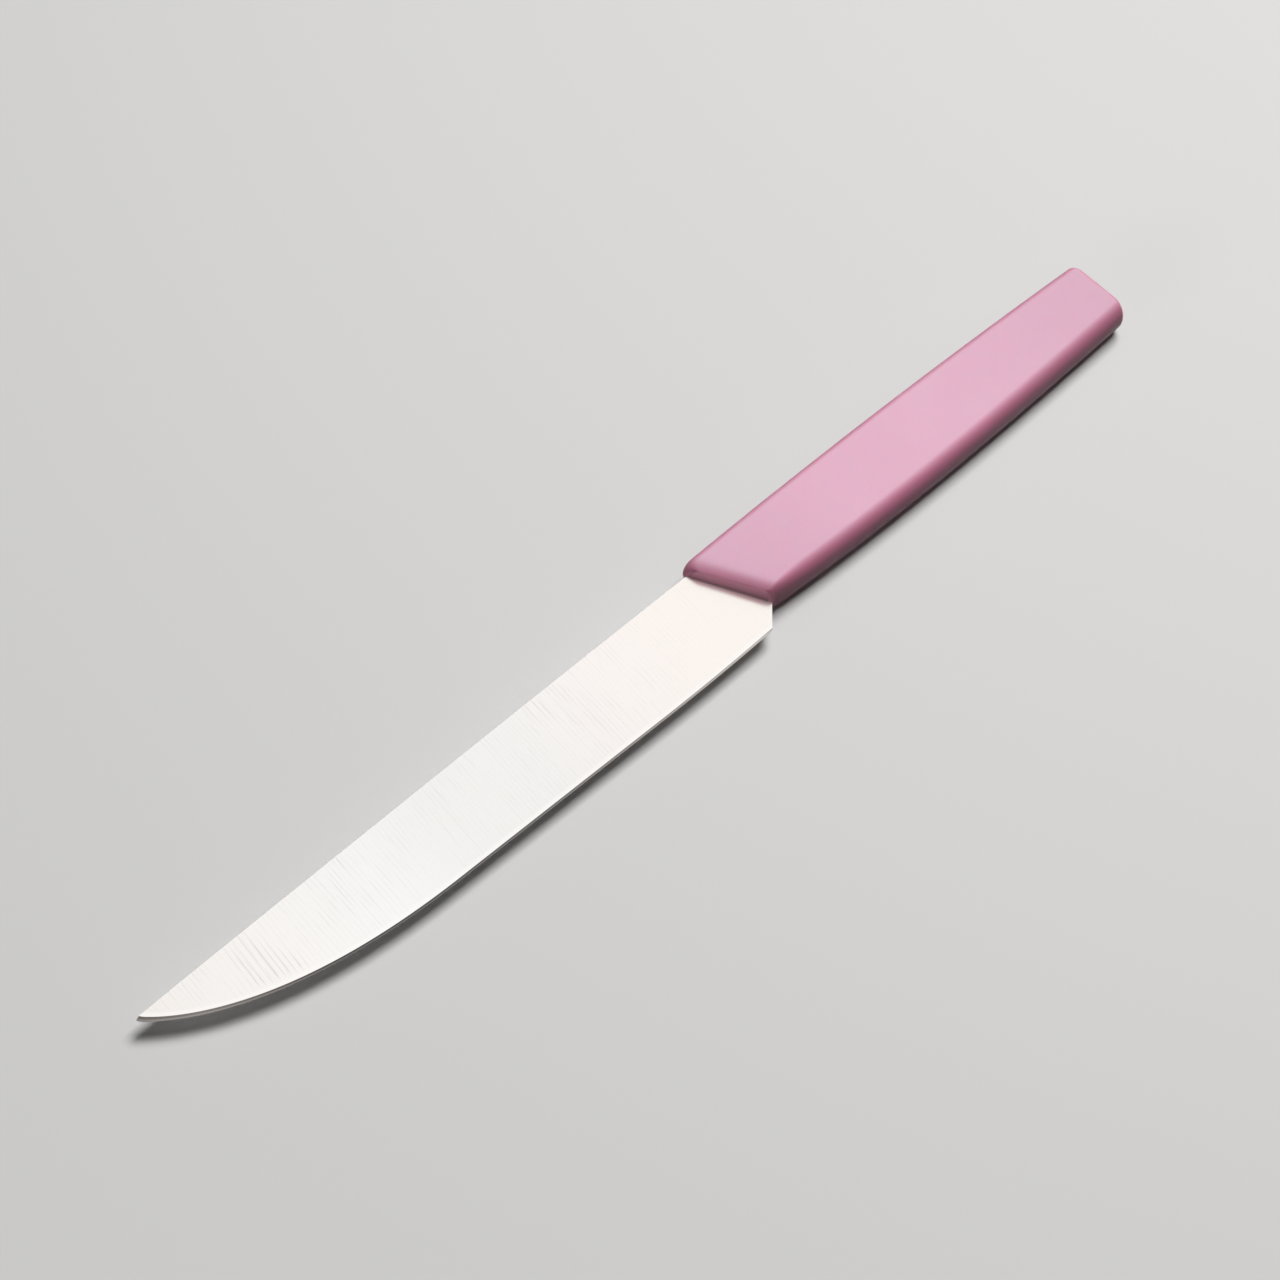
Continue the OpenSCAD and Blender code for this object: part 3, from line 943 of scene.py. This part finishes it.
@dataclass
class Handle:
    """Lines that the skin and the core of the handle share.

    Widths and depths of the back are those at the front, at mid length and at the butt.
    Places along the handle are rows: the distance along, and how far the back, the belly
    side and the flats are drawn in there.
    """

    layout: Layout
    widths: Tuple[float, float, float] = (16.8, 18.55, 15.15)
    width_lead_share: float = 0.85
    back_depths: Tuple[float, float, float] = (-1.35, -1.2, 0.75)
    butt_slant: float = 3.0
    back_round: float = 2.4
    belly_round: float = 2.8
    belly_front_round: float = 1.2
    belly_open_l: float = 12.0
    front_lean: float = 4.6
    rim_w: float = 1.3
    rim_l: float = 4.5
    rim_side_r: float = 0.5
    corner_w: float = 1.8
    corner_l: float = 3.0
    butt_r: float = 1.4
    skin_w: float = 1.4
    skin_side_w: float = 0.8
    skin_butt_w: float = 3.0
    nose_proud: float = 0.1
    nose_ease: float = 0.1
    core_end_r: float = 1.0
    core_round_share: float = 0.65
    # painted light: the colour is a little darker towards the front and the butt of the handle
    shades: Stops = ((0.0, 0.94), (30.0, 1.01), (60.0, 1.0), (80.0, 0.96), (105.0, 0.905))
    side_steps: int = 40
    flat_shares: Tuple[float, float, int] = (0.03, 0.97, 9)
    skin_steps: Tuple[int, ...] = (8, 32, 150, 15)
    core_steps: Tuple[int, ...] = (20, 60, 9)

    @property
    def front_l(self) -> float:
        """Length over which the front of the handle is rounded."""
        return max(self.corner_l, self.rim_l)

    def back_d(self, share: Array) -> Array:
        """Depth of the back of the handle at a share of its length."""
        return through(*self.back_depths, share)

    def belly_d(self, share: Array) -> Array:
        """Depth of the belly side: the back's depth and the width."""
        lead = np.maximum(0, share) ** self.width_lead_share
        return self.back_d(share) + through(*self.widths, lead)

    def butt_x(self, depth: Array) -> Array:
        """Place of the butt's end face at a depth."""
        up = self.belly_d(1.0) - self.butt_r - depth
        return self.layout.knife_l - up * tangent(self.butt_slant)

    def rings(self, places: Array, round_share: float) -> Array:
        """Sections of the handle, flat above and below with a half ellipse at both sides.

        Their plane swings from that of the front face to that of the butt. On the half
        ellipses depth = side +- r (1 - cos a) and height = h sin a. Close to the front
        face x grows with |height|, so that it leans back towards both flats.

        Args:
            places: rows of places along the handle.
            round_share: share of the skin's side roundings.

        Returns:
            Rings of points in metres.
        """
        along, back_in, belly_in, thin = places.T[..., None]
        share = along / self.layout.handle_l
        back, belly = self.back_d(share), self.belly_d(share)
        open_share = np.clip(along / self.belly_open_l, 0, 1)
        belly_r = lerp(self.belly_front_round, self.belly_round,
                       np.sin(open_share * np.pi / 2)) * round_share
        back_r = self.back_round * round_share
        turn = np.linspace(-np.pi / 2, np.pi / 2, self.side_steps + 1)
        ends = np.linspace(*self.flat_shares)
        high = self.layout.handle_t / 2 - thin
        upper = back + back_in + back_r * (1 - np.cos(turn))
        lower = belly - belly_in - belly_r * (1 - np.cos(turn[::-1]))
        over = lerp(upper[:, -1:], lower[:, :1], ends)
        depth = np.hstack([upper, over, lower, over[:, ::-1]])
        height = high * np.hstack([
            np.sin(turn), np.ones_like(ends), np.sin(turn[::-1]), -np.ones_like(ends)])
        back_x, belly_x = (
            lerp(self.layout.front_x(side(0.0)), self.butt_x(side(1.0)), share)
            for side in (self.back_d, self.belly_d))
        x = lerp(back_x, belly_x, (depth - back) / (belly - back))
        lean = tangent(self.front_lean) * np.clip(1 - along / self.front_l, 0, None)
        return self.layout.place(x + lean * np.abs(height), depth, height)

    def shade(self, points: Array, places: Array, least: float, high: float) -> Array:
        """Painted light along the handle, times painted shade from least to 1 by |height|."""
        rise = lerp(least, 1.0, np.clip(self.layout.height(points) / high, 0, 1))
        return np.interp(places[:, :1], *zip(*self.shades)) * rise

    def _to_end(self, rear: float, radius: float, steps: int, end_steps: int) -> Array:
        """Distances along and insets from the rounded front to a rounded rear end.

        Args:
            rear: place of the end.
            radius: radius of its rounding.
            steps: places up to the rounding.
            end_steps: places on it.

        Returns:
            Rows of the two.
        """
        turn = np.linspace(np.pi / 2, 0, end_steps)
        return np.vstack([
            with_inset(np.linspace(self.front_l, rear - radius, steps)[1:-1]),
            np.stack([rear - radius * (1 - np.cos(turn)), radius * (1 - np.sin(turn))], -1)])

    def skin_places(self) -> Array:
        """Places for the outside of the skin.

        Returns:
            Rows from the front face to the butt, closer together where it is rounded.
        """
        rim_steps, front_steps, *steps = self.skin_steps
        front = np.unique(np.hstack([eased_places(self.rim_side_r, rim_steps)[1:-1],
                                     eased_places(self.front_l, front_steps)]))
        along, inset = np.vstack([
            with_inset(front), self._to_end(self.layout.handle_l, self.butt_r, *steps)]).T
        return np.stack([along, inset + drawn_in(self.corner_w, self.corner_l, along),
                         inset + drawn_in(self.rim_side_r, self.rim_side_r, along),
                         inset + rolled_in(self.rim_w, self.rim_l, along)], -1)

    def core_places(self, front: Array) -> Array:
        """Places for the core.

        Args:
            front: rows of distance along and extra drawing in that come first.

        Returns:
            Rows from its nose to its rear end.
        """
        front_steps, *steps = self.core_steps
        rear = self.layout.handle_l - self.skin_butt_w
        along, inset = np.vstack([
            front, with_inset(eased_places(self.front_l, front_steps)[1:]),
            self._to_end(rear, self.core_end_r, *steps)]).T
        side = self.skin_side_w + inset
        corner = drawn_in(self.corner_w - self.skin_side_w / 2, self.corner_l,
                          np.maximum(0, along))
        return np.stack([along, side + corner, side, self.skin_w + inset], -1)


@dataclass
class HandleSkin:
    """The second shot: the outer skin, open at the nose of the core."""

    lines: Handle
    finish: MouldedPlastic = MouldedPlastic(
        "skin_plastic", (0.77, 0.475, 0.597), (0.68, 0.235, 0.365))
    lip_r: float = 0.05
    lip_h: float = 2.5
    painted_lip_highlight: float = 1.25
    face_shares: Range = (0.5, 0.85)
    painted_side_shade: float = 0.78
    side_h: float = 3.2

    def build(self) -> bpy.types.Object:
        """Builds and dresses the skin.

        Its rings run from the butt over the outside to the front face, turn over the lip
        there and run back inside along the core. A painted highlight makes the front face
        a little lighter near both flats.

        Returns:
            The skin's object.
        """
        outside_rows = self.lines.skin_places()[::-1]
        outside = self.lines.rings(outside_rows, 1.0)
        inside_rows = self.lines.core_places(with_inset(np.array([0.0, self.lip_r])))
        inside = self.lines.rings(inside_rows, self.lines.core_round_share)
        shares = np.array(self.face_shares)[:, None, None]
        face = lerp(outside[-1], inside[0], shares)
        rows = np.vstack([outside_rows, np.zeros_like(inside_rows[:len(face)]), inside_rows])
        points = np.vstack([outside, face, inside])
        # painted shade: the skin's sides darken towards the plane of the blade
        shade = self.lines.shade(points, rows, self.painted_side_shade, self.side_h)
        # painted highlight: the front face lightens near both flats
        lip = slice(len(outside), len(outside) + len(face) + 1)
        flatward = np.clip(self.lines.layout.height(points[lip]) - self.lip_h, 0, 1)
        shade[lip] *= lerp(1.0, self.painted_lip_highlight, flatward)
        made = Rings(points, {"shade": shade}).mesh("handle_skin_shell", self.finish.make())
        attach(made, BODY)
        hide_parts("handle_skin")
        return made


@dataclass
class HandleCore:
    """The first shot: its nose stands a little proud of the front of the skin."""

    lines: Handle
    finish: MouldedPlastic = MouldedPlastic(
        "core_plastic", (0.80, 0.42, 0.56), (0.85, 0.34, 0.49))
    painted_contact_shade: float = 0.2
    nose_h: float = 3.6
    nose_steps: int = 6
    face_insets: Range = (3.0, 2.2, 1.4, 0.6, 0.1)

    def build(self) -> bpy.types.Object:
        """Builds and dresses the core.

        Its rings start on the front face with extra insets, turn over the eased edge of
        the nose and run back along the core. Painted shade darkens the nose towards the
        plane of the blade.

        Returns:
            The core's object.
        """
        ease, proud = self.lines.nose_ease, self.lines.nose_proud
        turn = np.linspace(0, np.pi / 2, self.nose_steps)
        nose = np.stack([-proud + ease * (1 - np.cos(turn)), ease * (1 - np.sin(turn))], -1)
        face = [(-proud, ease + inset) for inset in self.face_insets]
        rows = self.lines.core_places(np.vstack([face, nose, (0.0, 0.0)]))
        points = self.lines.rings(rows, self.lines.core_round_share)
        # painted contact shade: the nose darkens towards the plane of the blade
        shade = self.lines.shade(points, rows, self.painted_contact_shade, self.nose_h)
        made = Rings(points, {"shade": shade}).mesh("handle_core_nose", self.finish.make())
        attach(made, BODY)
        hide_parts("handle_core")
        return made


# The studio

class Rays(Enum):
    """Which rays see the pale background instead of the dimmer light of the room."""

    CAMERA = "Is Camera Ray"
    GLOSSY = "Is Glossy Ray"
    TRANSMISSION = "Is Transmission Ray"

    @classmethod
    def seen(cls, nodes: Nodes) -> Value:
        """1 for these rays, and 0 for the others."""
        first, second, third = (nodes.value("LightPath", ray.value) for ray in cls)
        return nodes.maths("MAXIMUM", nodes.maths("MAXIMUM", first, second), third)


@dataclass(frozen=True)
class Lamp:
    """A square lamp that shines at the origin and that gloss doesn't mirror."""

    name: str
    size: float
    place: Point
    power: float

    def add(self) -> None:
        """Adds the lamp to the scene."""
        data = bpy.data.lights.new(self.name, "AREA")
        data.shape = "SQUARE"
        data.size = self.size
        data.energy = self.power
        made = linked(self.name, data)
        made.location = self.place
        made.rotation_euler = (-Vector(self.place)).to_track_quat("-Z", "Y").to_euler()
        made.visible_glossy = False

    def given(self, nodes: Nodes, where: Value) -> Value:
        """The lamp's light on the floor, as a number to compare with the other lamps'.

        Args:
            nodes: the floor's nodes.
            where: the place on the floor.

        Returns:
            P h a / r^4, with the power P, the height h, the way r from the lamp to the
            place and its length a along the lamp's aim.
        """
        place = Vector(self.place)
        aim = -place.normalized() * self.power * place.z
        way = nodes.value("VectorMath", 0, operation="SUBTRACT", i0=where, i1=place)
        along, square = (
            nodes.value("VectorMath", "Value", operation="DOT_PRODUCT", i0=way, i1=other)
            for other in (aim, way))
        return nodes.maths("MAXIMUM", along / (square * square), 0.0)

    @property
    def most(self) -> float:
        """The same number at the origin, P h / r^3."""
        return self.power * self.place[2] / Vector(self.place).length ** 3


@dataclass
class Studio:
    """Pale floor, soft overhead light and the camera, which has its place in millimetres."""

    target: Point = (-0.316, 4.964, 5.0)
    back: Point = (-0.29261, -0.32642, 0.89879)
    distance: float = 670.5
    focal_px: float = 3500.0
    image_px: float = 1280.0
    sensor_w: float = 36.0
    clip_start: float = 10.0
    floor_size: float = 12.0
    floor_pale: Colour = (0.68, 0.675, 0.67)
    floor_dim: Colour = (0.03, 0.028, 0.028)
    floor_roughness: float = 0.9
    floor_gloss: float = 0.1
    far_pale: Colour = (0.58, 0.575, 0.57)
    far_light: float = 0.95
    world_colour: Colour = (1.0, 0.995, 0.985)
    world_pale: float = 1.0
    world_dim: float = 0.04
    lamps: Tuple[Lamp, ...] = (
        Lamp("overhead", 0.5, (0.5, 0.08, 1.1), 14.95),
        Lamp("fill", 0.4, (-0.9, 0.0, 0.29), 1.1),
    )

    def _far(self, nodes: Nodes) -> Value:
        """How much of the lamps' light a place on the floor lacks.

        Args:
            nodes: the floor's nodes.

        Returns:
            0 as far as there is the share far_light of the light at the origin, and from
            there smoothly to 1 where there is none.
        """
        where = nodes.value("TexCoord", "Object")
        light = 0.0
        for lamp in self.lamps:
            light = lamp.given(nodes, where) + light
        return nodes.spread(light, self.far_light * sum(lamp.most for lamp in self.lamps), 0.0)

    def floor(self) -> None:
        """Builds the pale floor that the knife lies on.

        Where the lamps' light has fallen off it shows a pale tone of its own instead.
        """
        bpy.ops.mesh.primitive_plane_add(size=self.floor_size)
        made = bpy.context.object
        made.name = "floor"
        material, nodes, shader = new_material("pale_floor")
        seen = Rays.seen(nodes)
        nodes.fill(
            shader, Base_Color=nodes.mix(seen, self.floor_dim, self.floor_pale),
            Emission_Color=nodes.mix(seen * self._far(nodes), (0.0, 0.0, 0.0), self.far_pale),
            Emission_Strength=1.0, Roughness=self.floor_roughness,
            Specular_IOR_Level=self.floor_gloss)
        made.data.materials.append(material)

    def light(self) -> None:
        """Sets the world, a soft lamp overhead and a weak one low on the tip's side."""
        world = bpy.data.worlds.new("soft_room")
        world.use_nodes = True
        bpy.context.scene.world = world
        nodes = Nodes(world.node_tree)
        strength = Rays.seen(nodes) * (self.world_pale - self.world_dim) + self.world_dim
        nodes.fill(world.node_tree.nodes["Background"], Color=self.world_colour,
                   Strength=strength)
        for lamp in self.lamps:
            lamp.add()

    def camera(self) -> None:
        """Places the camera at the photograph's viewing angle and distance."""
        data = bpy.data.cameras.new("camera")
        data.sensor_width = self.sensor_w
        data.lens = self.focal_px / self.image_px * self.sensor_w
        data.clip_start = self.clip_start * MM
        back = Vector(self.back).normalized()
        made = linked("camera", data)
        made.location = (Vector(self.target) + back * self.distance) * MM
        made.rotation_euler = (-back).to_track_quat("-Z", "Y").to_euler()
        bpy.context.scene.camera = made


def main() -> None:
    """Builds the knife and the studio round it."""
    logging.basicConfig(level=logging.INFO, format="%(name)s: %(message)s")
    bpy.context.scene.view_settings.view_transform = "Standard"
    studio = Studio()
    studio.camera()
    studio.light()
    studio.floor()
    layout = Layout()
    lines = Handle(layout)
    for part in (Blade(layout), HandleSkin(lines), HandleCore(lines)):
        made = part.build()
        log.info("%s: %d faces", made.name, len(made.data.polygons))


if __name__ == "__main__":
    main()
